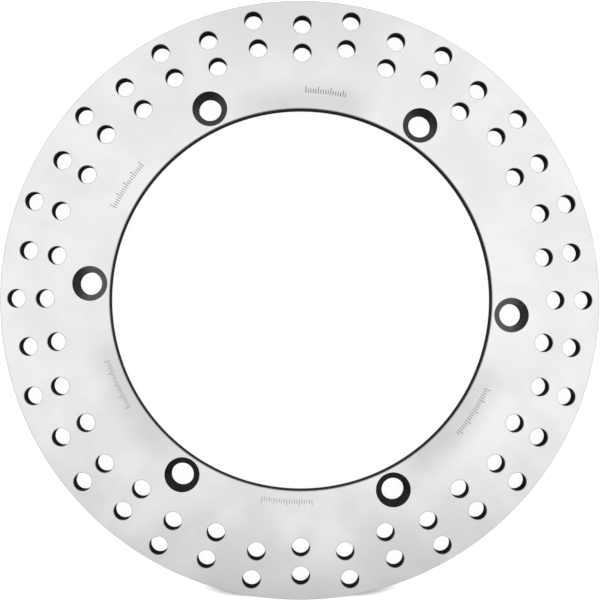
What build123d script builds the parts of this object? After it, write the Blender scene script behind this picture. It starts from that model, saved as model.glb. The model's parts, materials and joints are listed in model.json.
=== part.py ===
from build123d import *

import os

# Motorcycle brake rotor: one flat stainless ring, bolted straight to the wheel.
#
# The ring lies flat with its axis along Z. Its origin is the centre of the bore on the
# back face, which lies on the wheel, and the front face looks up +Z.
# Sizes are in millimetres. Read outwards from the wheel, the ring is its bore, the land
# that carries the bolts, and the track that the brake pads sweep, up to the rim.

# Ring
bore_diameter = 190.0
bolt_land_width = 19.5  # radial, from the bore to the pad track
pad_track_width = 34.5  # radial, from the bolt land to the rim
plate_thickness = 5.5
rim_chamfer = 0.5
bore_chamfer = 0.3

# Bolted joint to the wheel: holes for M10 bolts, dished wide and shallow on both faces
bolt_count = 6
bolt_diameter = 10.0
bolt_clearance = 1.2  # on the diameter
dish_diameter = 17.3
dish_angle = 130.0  # across the cone
dish_land = 1.35  # least metal between a dish and the bore
bolt_lag = 4.1  # degrees that the bolt holes trail the vent stations by

# Vent holes: pairs on radial lines, and every second pair stands further out
vent_station_count = 36
vent_diameter = 9.0
vent_pair_pitch = 14.0  # radial, between the two holes of a pair
vent_stagger = 3.9  # radial, between neighbouring pairs
vent_edge_break = 0.2

# Worked out from the sizes above
bore_radius = bore_diameter / 2
rim_radius = bore_radius + bolt_land_width + pad_track_width
bolt_hole_diameter = bolt_diameter + bolt_clearance
bolt_circle_radius = bore_radius + dish_land + dish_diameter / 2
vent_band_radius = rim_radius - pad_track_width / 2
vent_station_angle = 360 / vent_station_count

outer_pair_shift = vent_stagger / 2
inner_pair_shift = -vent_stagger / 2
pair_half_pitch = vent_pair_pitch / 2


def vent_circles(pair_shift):
    """The radii of the two hole circles whose pairs stand pair_shift off the band's middle."""
    pair_radius = vent_band_radius + pair_shift
    return [pair_radius - pair_half_pitch, pair_radius + pair_half_pitch]


def edges_on_face(part, height, radius):
    """The circular edges of that radius that lie at that height, for breaking."""
    return (
        part.edges()
        .filter_by(GeomType.CIRCLE)
        .filter_by(lambda edge: abs(edge.radius - radius) < 1e-6)
        .filter_by(lambda edge: abs(edge.center().Z - height) < 1e-6)
    )


with BuildPart() as rotor:
    # The ring
    with BuildSketch(Plane.XY):
        Circle(rim_radius)
        Circle(bore_radius, mode=Mode.SUBTRACT)
    extrude(amount=plate_thickness)

    # Bolt holes, dished from the front and from the back
    bolt_plane = Plane.XY.rotated((0, 0, -bolt_lag))
    for face in (bolt_plane.offset(plate_thickness), -bolt_plane):
        with Locations(face):
            with PolarLocations(bolt_circle_radius, bolt_count):
                CounterSinkHole(
                    radius=bolt_hole_diameter / 2,
                    counter_sink_radius=dish_diameter / 2,
                    counter_sink_angle=dish_angle,
                )

    # Vent holes: the outer pairs stand on the even stations and the inner pairs on the odd
    with BuildSketch(Plane.XY):
        for first_station, pair_shift in ((0, outer_pair_shift), (1, inner_pair_shift)):
            for circle_radius in vent_circles(pair_shift):
                with PolarLocations(
                    circle_radius,
                    vent_station_count // 2,
                    start_angle=first_station * vent_station_angle,
                ):
                    Circle(vent_diameter / 2)
    extrude(amount=plate_thickness, mode=Mode.SUBTRACT)

    # Broken edges, on both faces
    for height in (0, plate_thickness):
        chamfer(edges_on_face(rotor.part, height, rim_radius), rim_chamfer)
        chamfer(edges_on_face(rotor.part, height, bore_radius), bore_chamfer)
        chamfer(edges_on_face(rotor.part, height, vent_diameter / 2), vent_edge_break)

rotor.part.label = "rotor_plate"

os.makedirs("parts", exist_ok=True)
export_step(rotor.part, "parts/rotor_plate.step")

print(f"rim diameter {2 * rim_radius:.1f}, bolt circle {2 * bolt_circle_radius:.1f}")
print("inner pairs on circles of radius", vent_circles(inner_pair_shift))
print("outer pairs on circles of radius", vent_circles(outer_pair_shift))
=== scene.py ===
"""Motorcycle brake disc rotor: a ground stainless ring with black coated holes, lying on a pale floor."""

import json
import logging
import math
from dataclasses import dataclass, field
from enum import Enum
from typing import Iterable, Sequence

import bpy
import numpy as np
from mathutils import Euler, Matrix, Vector
from mathutils.geometry import delaunay_2d_cdt


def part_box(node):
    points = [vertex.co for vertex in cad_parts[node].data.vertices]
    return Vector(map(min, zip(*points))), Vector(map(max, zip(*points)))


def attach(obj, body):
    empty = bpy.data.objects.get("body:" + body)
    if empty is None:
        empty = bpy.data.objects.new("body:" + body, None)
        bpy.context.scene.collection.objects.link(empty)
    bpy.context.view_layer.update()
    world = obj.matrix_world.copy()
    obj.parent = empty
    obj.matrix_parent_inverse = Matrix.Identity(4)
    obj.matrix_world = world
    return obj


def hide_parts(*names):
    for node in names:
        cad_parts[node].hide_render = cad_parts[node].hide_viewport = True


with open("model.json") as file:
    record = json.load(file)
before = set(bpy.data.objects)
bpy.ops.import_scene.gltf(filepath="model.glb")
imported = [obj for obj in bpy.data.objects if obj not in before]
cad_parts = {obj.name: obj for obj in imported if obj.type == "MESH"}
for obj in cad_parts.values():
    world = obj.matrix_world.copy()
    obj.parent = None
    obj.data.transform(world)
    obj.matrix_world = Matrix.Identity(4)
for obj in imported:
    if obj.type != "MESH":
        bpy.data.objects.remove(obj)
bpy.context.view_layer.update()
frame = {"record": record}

MM = 0.001
BUMP_DEPTH = 0.02 * MM
NODE = "rotor_plate"
BODY = "root"
UPRIGHT = 1e-6
log = logging.getLogger("rotor")


class Region(Enum):
    """A finish of the plate, with its place in the mesh's material slots."""

    FACE = 0
    RIM = 1
    WALL = 2
    DISH = 3
    BREAK = 4
    ETCH = 5


# ---------------------------------------------------------------- shader graphs


class Graph:
    """A material's or world's node tree, with short calls to add and join nodes."""

    def __init__(self, owner: bpy.types.ID) -> None:
        """Starts an empty tree.

        Args:
            owner: The material or world whose nodes are built.
        """
        owner.use_nodes = True
        self.tree = owner.node_tree
        self.tree.nodes.clear()

    def node(self, kind: str, inputs: dict | None = None, **settings: object) -> bpy.types.Node:
        """Adds a node.

        Args:
            kind: The node's type, without its "ShaderNode" prefix.
            inputs: Values or output sockets for its inputs, by name or index.
            settings: Properties of the node.

        Returns:
            The new node.
        """
        made = self.tree.nodes.new("ShaderNode" + kind)
        for name, value in settings.items():
            setattr(made, name, value)
        for key, value in (inputs or {}).items():
            if isinstance(value, bpy.types.NodeSocket):
                self.tree.links.new(value, made.inputs[key])
            else:
                made.inputs[key].default_value = value
        return made

    def math(self, operation: str, *values: object) -> bpy.types.NodeSocket:
        """Adds a Math node.

        Args:
            operation: The node's operation, such as "MULTIPLY".
            values: Numbers or output sockets, in the order of the inputs.

        Returns:
            The result's socket.
        """
        return self.node("Math", dict(enumerate(values)), operation=operation).outputs[0]

    def noise(self, vector: bpy.types.NodeSocket, scale: float, detail: float = 2.0) -> bpy.types.NodeSocket:
        """Adds a noise from 0 to 1 and returns its value.

        Args:
            vector: The coordinates.
            scale: Features per unit of the coordinates.
            detail: Octaves of finer noise.

        Returns:
            The noise's socket.
        """
        inputs = {"Vector": vector, "Scale": scale, "Detail": detail}
        return self.node("TexNoise", inputs, noise_dimensions="3D").outputs["Fac"]

    def fit(self, value: bpy.types.NodeSocket, source: Sequence[float],
            target: Sequence[float]) -> bpy.types.NodeSocket:
        """Maps a range of a value onto another range, clamped.

        Args:
            value: The value to map.
            source: Its lowest and highest value.
            target: What those two become.

        Returns:
            The mapped value's socket.
        """
        inputs = {"Value": value, "From Min": source[0], "From Max": source[1],
                  "To Min": target[0], "To Max": target[1]}
        return self.node("MapRange", inputs, interpolation_type="SMOOTHSTEP").outputs["Result"]

    def tint(self, factor: bpy.types.NodeSocket, low: object, high: object) -> bpy.types.NodeSocket:
        """Mixes two colours.

        Args:
            factor: 0 for the first colour and 1 for the second.
            low: The first colour, as three numbers or a socket.
            high: The second colour, as three numbers or a socket.

        Returns:
            The mixed colour's socket.
        """
        ends = [end if isinstance(end, bpy.types.NodeSocket) else (*end, 1.0) for end in (low, high)]
        return self.node("Mix", {0: factor, 6: ends[0], 7: ends[1]}, data_type="RGBA").outputs[2]

    def radius(self, place: bpy.types.NodeSocket) -> bpy.types.NodeSocket:
        """Measures the distance from the Z axis.

        Args:
            place: The point on the object, in metres.

        Returns:
            The distance's socket.
        """
        flat = self.node("VectorMath", {0: place, 1: (1.0, 1.0, 0.0)}, operation="MULTIPLY").outputs[0]
        return self.node("VectorMath", {0: flat}, operation="LENGTH").outputs["Value"]

    def output(self, surface: bpy.types.NodeSocket, kind: str = "OutputMaterial") -> None:
        """Joins a shader to the tree's output.

        Args:
            surface: The shader's socket.
            kind: The output node's type, without its "ShaderNode" prefix.
        """
        self.node(kind, {"Surface": surface})


@dataclass(frozen=True)
class PolarGrain:
    """Coordinates that run round and across a ring, so that a noise stretches along its grinding marks."""

    along: float = 12.0
    across: float = 900.0
    lean: float = 0.0

    def vector(self, graph: Graph, place: bpy.types.NodeSocket) -> bpy.types.NodeSocket:
        """Builds the coordinates.

        Args:
            graph: The tree to build in.
            place: The point on the object, in metres.

        Returns:
            A vector on a cylinder of radius `along`, which turns with the angle and by `lean` radians per
            metre of radius, and rises by `across` per metre of radius.
        """
        split = graph.node("SeparateXYZ", {0: place})
        radius = graph.radius(place)
        angle = graph.math("ARCTAN2", split.outputs[1], split.outputs[0])
        leaning = graph.math("MULTIPLY_ADD", radius, self.lean, angle)
        east = graph.math("MULTIPLY", graph.math("COSINE", leaning), self.along)
        north = graph.math("MULTIPLY", graph.math("SINE", leaning), self.along)
        out = graph.math("MULTIPLY", radius, self.across)
        return graph.node("CombineXYZ", {0: east, 1: north, 2: out}).outputs[0]


@dataclass(frozen=True)
class PaintedShadePatch:
    """A soft patch of painted shade on the face along the bore, where the face is also a little rougher."""

    angle: float
    half_angle: float
    inner: float = 98.0 * MM
    outer: float = 114.0 * MM
    strength: float = 0.16

    def mask(self, graph: Graph, place: bpy.types.NodeSocket) -> bpy.types.NodeSocket:
        """Builds the patch.

        Args:
            graph: The tree to build in.
            place: The point on the object, in metres.

        Returns:
            Its strength at each point, 0 outside it.
        """
        flat = graph.node("VectorMath", {0: place, 1: (1.0, 1.0, 0.0)}, operation="MULTIPLY").outputs[0]
        radius = graph.radius(place)
        way = graph.node("VectorMath", {0: flat}, operation="NORMALIZE").outputs[0]
        middle = (math.cos(self.angle), math.sin(self.angle), 0.0)
        along = graph.node("VectorMath", {0: way, 1: middle}, operation="DOT_PRODUCT").outputs["Value"]
        round_it = graph.fit(along, (math.cos(self.half_angle), 1.0), (0.0, self.strength))
        return graph.math("MULTIPLY", round_it, graph.fit(radius, (self.inner, self.outer), (1.0, 0.0)))


@dataclass(frozen=True)
class GroundStainless:
    """Satin stainless faces: fine crossing grinding arcs, faint clouds and patches of painted shade along the
    bore.
    """

    bright: tuple[float, float, float] = (0.893, 0.885, 0.901)
    dull: tuple[float, float, float] = (0.828, 0.820, 0.838)
    roughness: tuple[float, float] = (0.23, 0.29)
    bump: float = 0.04
    grain: float = 0.14
    cloud_scale: float = 16.0
    blotch_scale: float = 60.0
    blotch_share: float = 0.4
    patch_roughness: float = 0.3
    arcs: tuple[PolarGrain, PolarGrain] = (PolarGrain(14.0, 1400.0, 9.0), PolarGrain(14.0, 1400.0, -9.0))
    painted_shade_patches: tuple[PaintedShadePatch, ...] = (
        PaintedShadePatch(math.radians(90), math.radians(24)),
        PaintedShadePatch(math.radians(212), math.radians(26), strength=0.13),
        PaintedShadePatch(math.radians(322), math.radians(26), strength=0.19),
    )

    def material(self) -> bpy.types.Material:
        """Builds the material and returns it."""
        made = bpy.data.materials.new("ground_stainless")
        graph = Graph(made)
        place = graph.node("TexCoord").outputs["Object"]
        clouds = graph.noise(place, self.cloud_scale, 3.0)
        blotches = graph.noise(place, self.blotch_scale, 2.0)
        cloudy = graph.math("MULTIPLY_ADD", blotches, self.blotch_share,
                            graph.math("MULTIPLY", clouds, 1.0 - self.blotch_share))
        right, left = (graph.noise(arc.vector(graph, place), 1.0, 3.0) for arc in self.arcs)
        grain = graph.math("MULTIPLY", graph.math("ADD", right, left), 0.5)
        shade = graph.math("MULTIPLY_ADD", grain, self.grain, graph.math("MULTIPLY", cloudy, 1.0 - self.grain))
        colour = graph.tint(graph.fit(shade, (0.38, 0.62), (0.0, 1.0)), self.dull, self.bright)
        # painted shade: darker patches along the bore, mixed towards black, which also raise the roughness a
        # little
        painted_shade = self.painted_shade_patches[0].mask(graph, place)
        for shade_patch in self.painted_shade_patches[1:]:
            painted_shade = graph.math("ADD", painted_shade, shade_patch.mask(graph, place))
        colour = graph.tint(painted_shade, colour, (0.0, 0.0, 0.0))
        rough = graph.math("ADD", graph.fit(cloudy, (0.35, 0.65), self.roughness[::-1]),
                           graph.math("MULTIPLY", painted_shade, self.patch_roughness))
        bump = graph.node("Bump", {"Height": grain, "Strength": self.bump, "Distance": BUMP_DEPTH})
        shader = graph.node("BsdfPrincipled", {
            "Base Color": colour, "Metallic": 1.0, "Roughness": rough, "Normal": bump.outputs[0]})
        graph.output(shader.outputs[0])
        return made


@dataclass(frozen=True)
class TurnedEdge:
    """Turned or broken stainless edges, with fine rings along them."""

    name: str
    bright: tuple[float, float, float]
    dull: tuple[float, float, float]
    roughness: tuple[float, float]
    stretch: tuple[float, float, float] = (20.0, 20.0, 6000.0)

    def material(self) -> bpy.types.Material:
        """Builds the material and returns it."""
        made = bpy.data.materials.new(self.name)
        graph = Graph(made)
        place = graph.node("TexCoord").outputs["Object"]
        rows = graph.node("VectorMath", {0: place, 1: self.stretch}, operation="MULTIPLY").outputs[0]
        rings = graph.noise(rows, 1.0, 2.0)
        colour = graph.tint(rings, self.dull, self.bright)
        rough = graph.fit(rings, (0.3, 0.7), self.roughness)
        bump = graph.node("Bump", {"Height": rings, "Strength": 0.25, "Distance": BUMP_DEPTH})
        shader = graph.node("BsdfPrincipled", {
            "Base Color": colour, "Metallic": 1.0, "Roughness": rough, "Normal": bump.outputs[0]})
        graph.output(shader.outputs[0])
        return made


@dataclass(frozen=True)
class DishReflection:
    """A painted reflection in the dishes: grey painted over the black coat, stronger to the left and right,
    and weaker in front and away from the bore.
    """

    colour: tuple[float, float, float] = (0.135, 0.135, 0.138)
    aside: tuple[float, float] = (70 * MM, 95 * MM)
    north: tuple[float, float] = (-60 * MM, -30 * MM)
    out: tuple[float, float] = (104.5 * MM, 112 * MM)
    least_aside: float = 0.42
    least_out: float = 0.12
    least_patch: float = 0.6

    def reflection_share(self, graph: Graph, place: bpy.types.NodeSocket,
              mottle: bpy.types.NodeSocket) -> bpy.types.NodeSocket:
        """Builds the painted reflection's share of the coat.

        Args:
            graph: The tree to build in.
            place: The point on the object, in metres.
            mottle: A noise that makes the painted reflection patchy.

        Returns:
            The share of the coat that the painted grey covers.
        """
        east, north, _ = graph.node("SeparateXYZ", {0: place}).outputs
        aside = graph.fit(graph.math("ABSOLUTE", east), self.aside, (self.least_aside, 1.0))
        behind = graph.fit(north, self.north, (0.0, 1.0))
        inner = graph.fit(graph.radius(place), self.out, (1.0, self.least_out))
        patchy = graph.fit(mottle, (0.3, 0.7), (self.least_patch, 1.0))
        amount = graph.math("MULTIPLY", graph.math("MULTIPLY", aside, behind), inner)
        return graph.math("MULTIPLY", amount, patchy)


@dataclass(frozen=True)
class BlackCoat:
    """The thin black coat that is left in the holes and the bore after the faces are ground."""

    name: str
    dark: tuple[float, float, float]
    worn: tuple[float, float, float]
    roughness: tuple[float, float]
    gloss: float
    speckle: float = 420.0
    peel: float = 2600.0
    painted_reflection: DishReflection | None = None

    def material(self) -> bpy.types.Material:
        """Builds the material and returns it."""
        made = bpy.data.materials.new(self.name)
        graph = Graph(made)
        place = graph.node("TexCoord").outputs["Object"]
        mottle = graph.noise(place, self.speckle, 3.0)
        peel = graph.noise(place, self.peel, 2.0)
        colour = graph.tint(graph.fit(mottle, (0.35, 0.7), (0.0, 1.0)), self.dark, self.worn)
        # painted reflection: grey painted into the dishes according to their place on the ring
        if self.painted_reflection:
            colour = graph.tint(self.painted_reflection.reflection_share(graph, place, mottle), colour, self.painted_reflection.colour)
        rough = graph.fit(mottle, (0.3, 0.7), self.roughness)
        bump = graph.node("Bump", {"Height": peel, "Strength": 0.15, "Distance": BUMP_DEPTH})
        shader = graph.node("BsdfPrincipled", {
            "Base Color": colour, "Roughness": rough, "Normal": bump.outputs[0],
            "Specular IOR Level": self.gloss})
        graph.output(shader.outputs[0])
        return made


RIM_EDGE = TurnedEdge(
    name="turned_rim", bright=(0.76, 0.755, 0.765), dull=(0.64, 0.635, 0.645), roughness=(0.30, 0.42))
BROKEN_EDGE = TurnedEdge(
    name="broken_edge", bright=(0.50, 0.50, 0.51), dull=(0.38, 0.38, 0.39), roughness=(0.42, 0.52))
WALL_COAT = BlackCoat(
    name="wall_coat", dark=(0.003, 0.003, 0.0033), worn=(0.009, 0.009, 0.0095), roughness=(0.5, 0.65),
    gloss=0.12)
DISH_COAT = BlackCoat(
    name="dish_coat", dark=(0.002, 0.002, 0.0022), worn=(0.014, 0.014, 0.0145), roughness=(0.24, 0.34),
    gloss=0.16, speckle=1500.0, painted_reflection=DishReflection())


@dataclass(frozen=True)
class EtchedSteel:
    """The dull grey floor of the etched ticks."""

    dark: tuple[float, float, float] = (0.24, 0.24, 0.245)
    pale: tuple[float, float, float] = (0.40, 0.40, 0.405)
    frost_scale: float = 3000.0

    def material(self) -> bpy.types.Material:
        """Builds the material and returns it."""
        made = bpy.data.materials.new("etched_steel")
        graph = Graph(made)
        place = graph.node("TexCoord").outputs["Object"]
        frost = graph.noise(place, self.frost_scale, 3.0)
        colour = graph.tint(graph.fit(frost, (0.3, 0.7), (0.0, 1.0)), self.dark, self.pale)
        bump = graph.node("Bump", {"Height": frost, "Strength": 0.4, "Distance": BUMP_DEPTH})
        shader = graph.node("BsdfPrincipled", {
            "Base Color": colour, "Metallic": 0.4, "Roughness": 0.7, "Normal": bump.outputs[0]})
        graph.output(shader.outputs[0])
        return made


# ---------------------------------------------------------------- mesh parts


@dataclass(frozen=True)
class Station:
    """A point of an edge's section, with the direction that the surface faces there."""

    radius: float
    height: float
    out: float
    up: float


def soft_section(corners: Sequence[tuple[float, float]], softness: float, steps: int) -> list[Station]:
    """Rounds the corners of an edge's section.

    Args:
        corners: Radius and height of each corner, from above the edge to below it, where the first and
            last lie on the plate's two faces and only give their direction.
        softness: Radius of the rounding at each corner between, in metres.
        steps: Facets of each rounding.

    Returns:
        The stations from the upper face to the lower face, tangent to both.
    """
    points = [np.array(corner) for corner in corners]
    stations = []
    for before, corner, after in zip(points, points[1:], points[2:]):
        arrive = (corner - before) / np.linalg.norm(corner - before)
        leave = (after - corner) / np.linalg.norm(after - corner)
        turn = math.atan2(arrive[0] * leave[1] - arrive[1] * leave[0], float(arrive @ leave))
        reach = softness * math.tan(abs(turn) / 2)
        side = np.array((arrive[1], -arrive[0])) * (-1 if turn > 0 else 1)
        centre = corner - arrive * reach + side * softness
        for step in range(steps + 1):
            angle = turn * step / steps
            spun = np.array((math.cos(angle) * arrive[0] - math.sin(angle) * arrive[1],
                             math.sin(angle) * arrive[0] + math.cos(angle) * arrive[1]))
            normal = np.array((-spun[1], spun[0]))
            inward = np.array((spun[1], -spun[0])) * (-1 if turn > 0 else 1)
            place = centre - inward * softness
            stations.append(Station(float(place[0]), float(place[1]), float(normal[0]), float(normal[1])))
    return stations


@dataclass(frozen=True)
class RoundEdge:
    """A round edge of the plate: the rim, the bore or a hole through it."""

    section: tuple[Station, ...]
    segments: int
    wall: Region
    trim: Region
    centre: tuple[float, float] = (0.0, 0.0)
    start: float = 0.0
    outside: bool = False

    def directions(self) -> np.ndarray:
        """Returns a unit vector from the centre for each segment."""
        angles = self.start + np.arange(self.segments) * (2 * math.pi / self.segments)
        return np.column_stack((np.cos(angles), np.sin(angles)))


class Shell:
    """A mesh as it is put together, with a region and exact normals for each face."""

    def __init__(self) -> None:
        """Starts an empty mesh."""
        self.points: list[tuple[float, float, float]] = []
        self.faces: list[tuple[int, ...]] = []
        self.regions: list[int] = []
        self.normals: list[tuple[float, float, float]] = []

    def add_points(self, points: Iterable[Sequence[float]]) -> list[int]:
        """Adds points and returns their numbers."""
        first = len(self.points)
        self.points.extend(tuple(map(float, point)) for point in points)
        return list(range(first, len(self.points)))

    def add_face(self, corners: Sequence[int], region: Region, normals: Sequence[Sequence[float]]) -> None:
        """Adds a face.

        Args:
            corners: The numbers of its points, anticlockwise from outside.
            region: Its finish.
            normals: The way the surface faces at each corner.
        """
        self.faces.append(tuple(corners))
        self.regions.append(region.value)
        self.normals.extend(tuple(map(float, normal)) for normal in normals)

    def add_edge(self, edge: RoundEdge) -> tuple[list[int], list[int]]:
        """Adds the strips of a round edge.

        Args:
            edge: The edge to build.

        Returns:
            The points of its upper and of its lower ring.
        """
        around = edge.directions()
        rings = []
        facing = []
        for station in edge.section:
            flat = np.array(edge.centre) + around * station.radius
            rings.append(self.add_points(np.column_stack((flat, np.full(edge.segments, station.height)))))
            facing.append(np.column_stack((around * station.out, np.full(edge.segments, station.up))))
        level = [abs(station.up) < UPRIGHT for station in edge.section]
        finishes = [edge.wall if pair == (True, True) else edge.trim for pair in zip(level, level[1:])]
        for upper, lower, up_normal, low_normal, finish in zip(rings, rings[1:], facing, facing[1:], finishes):
            for here in range(edge.segments):
                there = (here + 1) % edge.segments
                corners = [upper[here], upper[there], lower[there], lower[here]]
                normals = [up_normal[here], up_normal[there], low_normal[there], low_normal[here]]
                if edge.outside:
                    corners.reverse()
                    normals.reverse()
                self.add_face(corners, finish, normals)
        return rings[0], rings[-1]

    def add_sheet(self, loops: Sequence[Sequence[int]], filling: Sequence[int], up: bool) -> None:
        """Fills a flat face between its outer loop and the loops of its holes.

        Args:
            loops: The points of each loop in order, the outer one first.
            filling: Loose points inside the face.
            up: Whether the face looks up.
        """
        numbers = [number for loop in loops for number in loop] + list(filling)
        flat = np.array([self.points[number][:2] for number in numbers])
        edges: list[tuple[int, int]] = []
        first = 0
        for loop in loops:
            edges += [(first + k, first + (k + 1) % len(loop)) for k in range(len(loop))]
            first += len(loop)
        scaled = flat / MM
        made = delaunay_2d_cdt([Vector(p) for p in scaled], edges, [], 0, 1e-6)
        source = [origin[0] for origin in made[3]]
        triangles = np.array([[source[corner] for corner in face] for face in made[2]])
        corners = flat[triangles]
        middles = corners.mean(1)
        keep = inside(middles, flat[: len(loops[0])])
        first = len(loops[0])
        for loop in loops[1:]:
            keep &= ~inside(middles, flat[first: first + len(loop)])
            first += len(loop)
        one, two = corners[:, 1] - corners[:, 0], corners[:, 2] - corners[:, 0]
        turned = (one[:, 0] * two[:, 1] - one[:, 1] * two[:, 0] > 0) != up
        for triangle, kept, flip in zip(triangles, keep, turned):
            if kept:
                order = triangle[::-1] if flip else triangle
                self.add_face([numbers[k] for k in order], Region.FACE, [(0, 0, 1 if up else -1)] * 3)

    def mesh(self, name: str) -> bpy.types.Mesh:
        """Makes the mesh.

        Args:
            name: The mesh's name.

        Returns:
            The mesh, smooth, with its regions and normals set.
        """
        made = bpy.data.meshes.new(name)
        made.from_pydata(self.points, [], self.faces)
        made.polygons.foreach_set("material_index", self.regions)
        made.polygons.foreach_set("use_smooth", [True] * len(self.faces))
        made.normals_split_custom_set(self.normals)
        made.update()
        return made


def inside(points: np.ndarray, loop: np.ndarray) -> np.ndarray:
    """Tests which points lie inside a loop.

    Args:
        points: Flat points, one a row.
        loop: The loop's points in order.

    Returns:
        A truth value for each point.
    """
    low, high = loop.min(0), loop.max(0)
    near = np.where(((points >= low) & (points <= high)).all(1))[0]
    found = np.zeros(len(points), bool)
    if not len(near):
        return found
    x, y = points[near, 0][:, None], points[near, 1][:, None]
    x0, y0 = loop[:, 0][None], loop[:, 1][None]
    x1, y1 = np.roll(loop[:, 0], -1)[None], np.roll(loop[:, 1], -1)[None]
    spans = (y0 > y) != (y1 > y)
    rise = np.where(y1 == y0, 1.0, y1 - y0)
    crossed = spans & (x < x0 + (y - y0) * (x1 - x0) / rise)
    found[near] = crossed.sum(1) % 2 == 1
    return found


@dataclass(frozen=True)
class TickRow:
    """A row of plain etched ticks along the ring, like a stretch of a ruler, long at every fifth."""

    angle: float
    radius: float
    length: float
    stroke: float
    tall: float
    short: float
    pitch: float = 1.25 * MM
    every: int = 5
    depth: float = 0.05 * MM

    def ticks(self) -> list[np.ndarray]:
        """Returns the four corners of each tick, anticlockwise from above."""
        count = int(round(self.length / self.pitch))
        found = []
        for number in range(count + 1):
            height = self.tall if number % self.every == 0 else self.short
            turn = self.angle - (number - count / 2) * self.pitch / self.radius
            out = np.array((math.cos(turn), math.sin(turn)))
            side = np.array((-out[1], out[0])) * (self.stroke / 2)
            foot = out * (self.radius - self.tall / 2)
            head = foot + out * height
            found.append(np.array((foot - side, head - side, head + side, foot + side)))
        return found


TICK_ROWS = (
    TickRow(math.radians(83.5), 104.5 * MM, length=20 * MM, stroke=0.45 * MM, tall=3.4 * MM, short=2.2 * MM),
    TickRow(math.radians(147.0), 104.0 * MM, length=25 * MM, stroke=0.35 * MM, tall=3.6 * MM, short=2.2 * MM),
    TickRow(math.radians(205.0), 101.0 * MM, length=25 * MM, stroke=0.30 * MM, tall=3.0 * MM, short=1.8 * MM),
    TickRow(math.radians(266.0), 101.0 * MM, length=25 * MM, stroke=0.25 * MM, tall=3.2 * MM, short=2.0 * MM),
    TickRow(math.radians(327.0), 103.0 * MM, length=26 * MM, stroke=0.35 * MM, tall=3.4 * MM, short=2.2 * MM),
)


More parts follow.
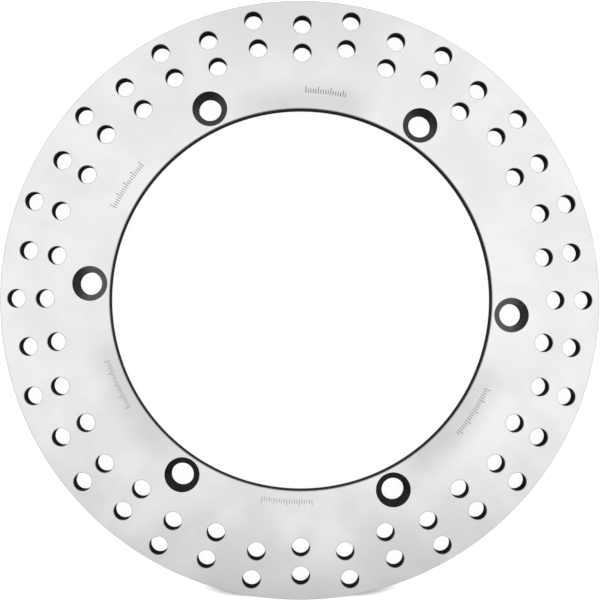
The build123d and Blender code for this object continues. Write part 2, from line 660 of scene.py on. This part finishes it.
@dataclass
class RotorPlate:
    """The one-piece rotor: a flat ring with a bore, dished bolt holes, paired vents and etched ticks."""

    rim_radius: float
    thickness: float
    bore_radius: float
    bolt_circle_radius: float
    bolt_hole_radius: float
    bolt_count: int
    rim_chamfer: float = 0.5 * MM
    bore_chamfer: float = 0.3 * MM
    dish_radius: float = 8.65 * MM
    dish_angle: float = math.radians(130.0)
    bolt_lag: float = math.radians(4.1)
    vent_radius: float = 4.5 * MM
    vent_edge_break: float = 0.2 * MM
    vent_stations: int = 36
    vent_pair_pitch: float = 14.0 * MM
    vent_stagger: float = 3.9 * MM
    bolt_land_width: float = 19.5 * MM
    softness: float = 0.06 * MM
    soft_steps: int = 3
    rim_segments: int = 480
    bore_segments: int = 360
    vent_segments: int = 48
    bolt_segments: int = 96
    filling_pitch: float = 4.5 * MM
    filling_clearance: float = 0.3
    rows: tuple[TickRow, ...] = field(default_factory=tuple)

    def edge(self, radius: float, cut: float, wall: Region, trim: Region, segments: int,
             **place: object) -> RoundEdge:
        """Describes a round edge whose corners are broken at 45 degrees.

        Args:
            radius: Its radius.
            cut: Width of the broken corners.
            wall: The finish of its upright wall.
            trim: The finish of its broken corners.
            segments: Facets round it.
            place: Its centre, start and side, as RoundEdge takes them.

        Returns:
            The edge.
        """
        back = -1 if place.get("outside") else 1
        top = self.thickness
        mouth = radius + back * cut
        face = mouth + 2 * back * cut
        corners = [(face, top), (mouth, top), (radius, top - cut), (radius, cut), (mouth, 0.0), (face, 0.0)]
        return RoundEdge(self.section(corners, back), segments, wall, trim, **place)

    def section(self, corners: Sequence[tuple[float, float]], back: int) -> tuple[Station, ...]:
        """Softens an edge's section and turns its normals away from the metal.

        Args:
            corners: Radius and height of each corner, as soft_section takes them.
            back: 1 for a hole and -1 for the rim, the way from the edge into the metal.

        Returns:
            The stations of the section.
        """
        stations = soft_section(corners, self.softness, self.soft_steps)
        return tuple(Station(s.radius, s.height, s.out * -back, s.up * -back) for s in stations)

    def rim(self) -> RoundEdge:
        """Returns the rim's edge."""
        return self.edge(self.rim_radius, self.rim_chamfer, Region.RIM, Region.RIM, self.rim_segments,
                         outside=True)

    def bore(self) -> RoundEdge:
        """Returns the bore's edge."""
        return self.edge(self.bore_radius, self.bore_chamfer, Region.WALL, Region.BREAK, self.bore_segments)

    def vents(self) -> list[RoundEdge]:
        """Returns the edges of the vent holes, pair by pair."""
        middle = (self.bore_radius + self.bolt_land_width + self.rim_radius) / 2
        found = []
        for station in range(self.vent_stations):
            angle = 2 * math.pi * station / self.vent_stations
            shift = self.vent_stagger / 2 * (1 if station % 2 == 0 else -1)
            for half in (-1, 1):
                radius = middle + shift + half * self.vent_pair_pitch / 2
                centre = (radius * math.cos(angle), radius * math.sin(angle))
                found.append(self.edge(self.vent_radius, self.vent_edge_break, Region.WALL, Region.BREAK,
                                       self.vent_segments, centre=centre, start=angle))
        return found

    def bolts(self) -> list[RoundEdge]:
        """Returns the edges of the bolt holes, each with a shallow dish on both faces."""
        depth = (self.dish_radius - self.bolt_hole_radius) / math.tan(self.dish_angle / 2)
        top, hole, dish = self.thickness, self.bolt_hole_radius, self.dish_radius
        corners = [(dish + depth, top), (dish, top), (hole, top - depth),
                   (hole, depth), (dish, 0.0), (dish + depth, 0.0)]
        section = self.section(corners, 1)
        found = []
        for number in range(self.bolt_count):
            angle = 2 * math.pi * number / self.bolt_count - self.bolt_lag
            centre = (self.bolt_circle_radius * math.cos(angle), self.bolt_circle_radius * math.sin(angle))
            found.append(RoundEdge(section, self.bolt_segments, Region.WALL, Region.DISH, centre, angle))
        return found

    def filling(self, edges: Sequence[RoundEdge]) -> np.ndarray:
        """Spreads loose points over a face, clear of its edges, so that its triangles stay compact.

        Args:
            edges: The rim, the bore and the holes.

        Returns:
            Flat points, one a row.
        """
        rings = int((self.rim_radius - self.bore_radius) / self.filling_pitch)
        points = []
        for ring in range(1, rings):
            radius = self.bore_radius + (self.rim_radius - self.bore_radius) * ring / rings
            count = int(2 * math.pi * radius / self.filling_pitch)
            angles = (np.arange(count) + 0.5 * (ring % 2)) * (2 * math.pi / count)
            points.append(radius * np.column_stack((np.cos(angles), np.sin(angles))))
        found = np.concatenate(points)
        for edge in edges[2:]:
            reach = edge.section[0].radius + self.filling_clearance * self.filling_pitch
            found = found[np.hypot(*(found - np.array(edge.centre)).T) > reach]
        for row in self.rows:
            for tick in row.ticks():
                found = found[np.hypot(*(found - tick.mean(0)).T) > row.tall]
        return found

    def build(self) -> bpy.types.Object:
        """Builds the plate as one closed mesh.

        Returns:
            The new object, at rest in the row frame.
        """
        shell = Shell()
        edges = [self.rim(), self.bore(), *self.vents(), *self.bolts()]
        rings = [shell.add_edge(edge) for edge in edges]
        upper = [ring[0] for ring in rings]
        lower = [ring[1] for ring in rings]
        for row in self.rows:
            upper += [self.sink(shell, tick, row.depth) for tick in row.ticks()]
        spread = self.filling(edges)
        for loops, height, up in ((upper, self.thickness, True), (lower, 0.0, False)):
            loose = shell.add_points(np.column_stack((spread, np.full(len(spread), height))))
            shell.add_sheet(loops, loose, up)
        made = bpy.data.objects.new("rotor_ring", shell.mesh("rotor_ring"))
        bpy.context.scene.collection.objects.link(made)
        return made

    def sink(self, shell: Shell, tick: np.ndarray, depth: float) -> list[int]:
        """Adds the walls and floor of an etched tick.

        Args:
            shell: The mesh to add them to.
            tick: The tick's corners, anticlockwise from above.
            depth: How far its floor lies below the face.

        Returns:
            The points of its outline on the face.
        """
        top = shell.add_points(np.column_stack((tick, np.full(4, self.thickness))))
        floor = shell.add_points(np.column_stack((tick, np.full(4, self.thickness - depth))))
        for here in range(4):
            there = (here + 1) % 4
            along = tick[there] - tick[here]
            wall = np.array((-along[1], along[0], 0.0)) / np.linalg.norm(along)
            shell.add_face([top[here], top[there], floor[there], floor[here]], Region.ETCH, [wall] * 4)
        shell.add_face(floor, Region.ETCH, [(0, 0, 1)] * 4)
        return top

    def dress(self, piece: bpy.types.Object) -> None:
        """Gives the plate its finishes, each in its region's slot.

        Args:
            piece: The plate that build returned.
        """
        finishes = {
            Region.FACE: GroundStainless(),
            Region.RIM: RIM_EDGE,
            Region.WALL: WALL_COAT,
            Region.DISH: DISH_COAT,
            Region.BREAK: BROKEN_EDGE,
            Region.ETCH: EtchedSteel(),
        }
        for region in Region:
            piece.data.materials.append(finishes[region].material())


# ---------------------------------------------------------------- studio


@dataclass(frozen=True)
class Dimming:
    """A soft dark patch of the tent, bounded by ranges over which it fades in or out."""

    depth: float
    north: tuple[float, float]
    aside: tuple[float, float]
    up: tuple[float, float]

    def build(self, graph: Graph, north: bpy.types.NodeSocket, aside: bpy.types.NodeSocket,
              up: bpy.types.NodeSocket) -> bpy.types.NodeSocket:
        """Builds the patch.

        Args:
            graph: The tree to build in.
            north: How far a direction leans to the patch's own side.
            aside: How far it leans to either side of that.
            up: How high it points.

        Returns:
            The share of light that it takes away in each direction.
        """
        towards = graph.fit(north, self.north, (0.0, self.depth))
        between = graph.fit(aside, self.aside, (1.0, 0.0))
        above = graph.fit(up, self.up, (0.0, 1.0))
        return graph.math("MULTIPLY", graph.math("MULTIPLY", towards, between), above)


@dataclass(frozen=True)
class Sky:
    """A white tent round the ring, given by its brightness towards each side, where 1 is white."""

    level: float = 1.01
    lean: float = 0.055
    wedge: float = 0.25
    front: Dimming = Dimming(0.79, (0.37, 0.47), (0.75, 1.0), (0.50, 0.70))
    back: Dimming = Dimming(0.38, (0.34, 0.52), (0.0, 0.34), (0.50, 0.70))
    low_tone: float = 0.80
    low_edge: tuple[float, float] = (0.25, 0.75)

    def build(self) -> None:
        """Sets the world: a dark gap in front, a dim one behind, dimmer low down, white for the camera."""
        world = bpy.data.worlds.new("studio_tent")
        bpy.context.scene.world = world
        graph = Graph(world)
        split = graph.node("SeparateXYZ", {0: graph.node("TexCoord").outputs["Generated"]})
        east, north, up = split.outputs
        aside = graph.math("ABSOLUTE", east)
        south = graph.math("MULTIPLY", north, -1.0)
        gap = graph.math("MULTIPLY_ADD", aside, self.wedge, south)
        level = graph.math("MULTIPLY_ADD", east, self.lean * self.level, self.level)
        level = graph.math("MULTIPLY", level, graph.fit(up, self.low_edge, (self.low_tone, 1.0)))
        front = self.front.build(graph, gap, aside, up)
        back = self.back.build(graph, north, aside, up)
        for shade in (front, back):
            level = graph.math("MULTIPLY", level, graph.math("SUBTRACT", 1.0, shade))
        path = graph.node("LightPath").outputs["Is Camera Ray"]
        seen = graph.node("Mix", {0: path, 2: level, 3: 1.0}, data_type="FLOAT").outputs[0]
        glow = graph.node("Background", {"Color": (1.0, 1.0, 1.0, 1.0), "Strength": seen})
        graph.output(glow.outputs[0], "OutputWorld")


@dataclass(frozen=True)
class ContactShade:
    """A painted shadow: a soft dark patch painted on the floor where it meets the front of the ring."""

    depth: float = 0.42
    far: tuple[float, float] = (-151.0 * MM, -148.0 * MM)
    near: tuple[float, float] = (-147.5 * MM, -141.0 * MM)
    out: tuple[float, float] = (150.0 * MM, 156.0 * MM)

    def mask(self, graph: Graph, north: bpy.types.NodeSocket,
             radius: bpy.types.NodeSocket) -> bpy.types.NodeSocket:
        """Builds the patch.

        Args:
            graph: The tree to build in.
            north: The floor's coordinate from front to back, in metres.
            radius: The distance from the ring's axis, in metres.

        Returns:
            1 in the middle of the patch, 0 outside it.
        """
        band = graph.math("MULTIPLY", graph.fit(north, self.far, (0.0, 1.0)),
                          graph.fit(north, self.near, (1.0, 0.0)))
        return graph.math("MULTIPLY", band, graph.fit(radius, self.out, (1.0, 0.0)))


@dataclass(frozen=True)
class Studio:
    """The pale floor, the tent and the camera."""

    sky: Sky = Sky()
    floor_size: float = 6.0
    floor_height: float = -0.01 * MM
    lit_radius: float = 147.0 * MM
    lit_fade: float = 1.0 * MM
    floor_tone: float = 0.80
    seen_tone: float = 0.95
    floor_glow: float = 0.62
    contact: ContactShade = ContactShade()
    lit_tone: float = 0.05
    lit_glow: float = 0.97
    camera_place: tuple[float, float, float] = (-7.65 * MM, -11.23 * MM, 328.7 * MM)
    camera_turn: tuple[float, float, float] = (0.384, -0.773, 0.172)
    lens: float = 39.08
    shift: tuple[float, float] = (0.00855, 0.0292)

    def floor(self) -> bpy.types.Object:
        """Adds the floor and returns it."""
        half = self.floor_size / 2
        mesh = bpy.data.meshes.new("floor")
        corners = [(-half, -half, 0.0), (half, -half, 0.0), (half, half, 0.0), (-half, half, 0.0)]
        mesh.from_pydata(corners, [], [(0, 1, 2, 3)])
        made = bpy.data.objects.new("floor", mesh)
        made.location.z = self.floor_height
        bpy.context.scene.collection.objects.link(made)
        made.data.materials.append(self.paper())
        return made

    def paper(self) -> bpy.types.Material:
        """Builds the floor's white paper, which glows for the camera, more so inside the ring as painted light
        that washes out the ring's shadow there, and carries a painted shadow by the front of the ring.

        Returns:
            The material.
        """
        made = bpy.data.materials.new("white_paper")
        graph = Graph(made)
        place = graph.node("TexCoord").outputs["Object"]
        radius = graph.radius(place)
        # painted light: inside the ring the floor glows almost white and takes almost no light, so the ring's
        # own shadow there is washed out
        within = graph.fit(radius, (self.lit_radius, self.lit_radius + self.lit_fade), (1.0, 0.0))
        north = graph.node("SeparateXYZ", {0: place}).outputs[1]
        # painted shadow: the floor darkens and glows less in a patch by the front of the ring
        open_floor = graph.math("SUBTRACT", 1.0, self.contact.mask(graph, north, radius))
        around = graph.math("MULTIPLY", open_floor, self.floor_glow)
        strength = graph.node("Mix", {0: within, 2: around, 3: self.lit_glow}, data_type="FLOAT").outputs[0]
        shaded_tone = self.seen_tone * (1.0 - self.contact.depth)
        outer = graph.tint(open_floor, (shaded_tone,) * 3, (self.seen_tone,) * 3)
        tone = graph.tint(within, outer, (self.lit_tone,) * 3)
        plain = graph.node("BsdfDiffuse", {"Color": (*(self.floor_tone,) * 3, 1.0)}).outputs[0]
        shaded = graph.node("BsdfDiffuse", {"Color": tone}).outputs[0]
        glow = graph.node("Emission", {"Strength": strength}).outputs[0]
        seen = graph.node("AddShader", {0: glow, 1: shaded}).outputs[0]
        path = graph.node("LightPath").outputs["Is Camera Ray"]
        graph.output(graph.node("MixShader", {0: path, 1: plain, 2: seen}).outputs[0])
        return made

    def camera(self) -> bpy.types.Object:
        """Adds the camera above the ring and returns it."""
        data = bpy.data.cameras.new("camera")
        data.lens = self.lens
        data.shift_x, data.shift_y = self.shift
        made = bpy.data.objects.new("camera", data)
        made.location = self.camera_place
        made.rotation_euler = Euler([math.radians(turn) for turn in self.camera_turn])
        bpy.context.scene.collection.objects.link(made)
        bpy.context.scene.camera = made
        return made

    def build(self) -> None:
        """Sets up the whole studio."""
        self.sky.build()
        self.floor()
        self.camera()
        bpy.context.scene.view_settings.view_transform = "Standard"


def mount(name: str) -> dict:
    """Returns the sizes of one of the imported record's mounts.

    Args:
        name: The mount's name.

    Returns:
        Its dims, in millimetres.
    """
    return next(m["dims"] for m in frame["record"]["mounts"] if m["name"] == name)


def main() -> None:
    """Builds the rotor and the studio round it."""
    logging.basicConfig(level=logging.INFO, format="%(name)s: %(message)s")
    low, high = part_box(NODE)
    bolts = mount("wheel_bolts")
    plate = RotorPlate(
        rim_radius=(high.x - low.x) / 2,
        thickness=high.z - low.z,
        bore_radius=mount("wheel_bore")["r_mm"] * MM,
        bolt_circle_radius=bolts["pcd_mm"] / 2 * MM,
        bolt_hole_radius=bolts["hole_r_mm"] * MM,
        bolt_count=bolts["count"],
        rows=TICK_ROWS,
    )
    piece = plate.build()
    plate.dress(piece)
    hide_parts(NODE)
    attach(piece, BODY)
    log.info("%s: %d faces for %s", piece.name, len(piece.data.polygons), NODE)
    Studio().build()
    log.info("studio: floor, tent and camera")


if __name__ == "__main__":
    main()
